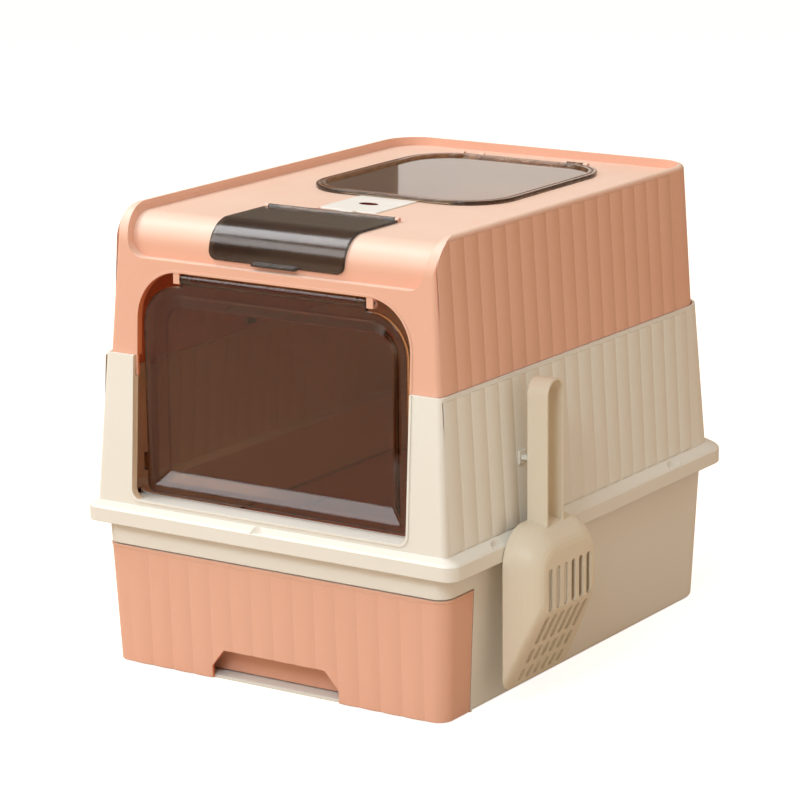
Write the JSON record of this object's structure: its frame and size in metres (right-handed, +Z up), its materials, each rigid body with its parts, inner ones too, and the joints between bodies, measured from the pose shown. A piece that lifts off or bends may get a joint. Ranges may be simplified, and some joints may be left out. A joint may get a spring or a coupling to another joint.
{
  "type": "litter box",
  "caption": "Enclosed drawer litter box: a tub with a pull-out tray, a middle frame, a sunk-panel roof, a swing front door, a top hatch, a storage lid and a hanging scoop",
  "frame": {"origin": "middle of the flange's footprint, on the floor", "axes": "+X to the right as seen from the front, -Y out of the front door, +Z up"},
  "size_m": [0.4468, 0.522, 0.4375],
  "materials": {
    "white_shell": "fine satin grain, warm white",
    "pink_shell": "fine satin grain, peach pink",
    "tray_inner": "satin, peach pink",
    "cream_scoop": "satin, cream",
    "smoke_clear": "smoke-brown clear plastic, polished",
    "dark_clip": "satin, near black",
    "pin_steel": "drawn wire",
    "white_latch": "smooth white"
  },
  "bodies": {
    "tub": {"base_tub": "white_shell"},
    "drawer": {"drawer_tray": "tray_inner", "drawer_front": "pink_shell"},
    "middle": {"mid_frame": "white_shell", "scoop_hook": "white_shell"},
    "roof": {"top_cover": "pink_shell", "cover_catches": "dark_clip", "storage_bin": "pink_shell", "door_hinge_pins": "pin_steel", "visor_hinge_pins": "pin_steel", "hatch_hinge_pins": "pin_steel"},
    "door": {"front_door": "smoke_clear"},
    "lid": {"visor_cover": "smoke_clear"},
    "hatch": {"top_hatch": "smoke_clear"},
    "catch": {"hatch_latch": "white_latch", "latch_keeper": "white_latch"},
    "scoop": {"scoop": "cream_scoop"}
  },
  "joints": [
    {"name": "drawer_slide", "type": "slide", "parent": "tub", "child": "drawer", "axis": [0, -1, 0], "range_m": [0, 0.38]},
    {"name": "middle_lift", "type": "slide", "parent": "tub", "child": "middle", "axis": [0, 0, 1], "range_m": [0, 0.15]},
    {"name": "roof_lift", "type": "slide", "parent": "middle", "child": "roof", "axis": [0, 0, 1], "range_m": [0, 0.2]},
    {"name": "door_swing", "type": "hinge", "parent": "roof", "child": "door", "pos_m": [0, -0.23617, 0.3754], "axis": [1, 0, 0], "range_deg": [-75, 75]},
    {"name": "lid_hinge", "type": "hinge", "parent": "roof", "child": "lid", "pos_m": [0, -0.142, 0.4312], "axis": [-1, 0, 0], "range_deg": [0, 100]},
    {"name": "hatch_hinge", "type": "hinge", "parent": "roof", "child": "hatch", "pos_m": [0, 0.1974, 0.4317], "axis": [-1, 0, 0], "range_deg": [0, 100]},
    {"name": "catch_slide", "type": "slide", "parent": "roof", "child": "catch", "axis": [0, -1, 0], "range_m": [0, 0.006]},
    {"name": "scoop_lift_off", "type": "slide", "parent": "middle", "child": "scoop", "axis": [1, 0, 0], "range_m": [0, 0.08]}
  ]
}
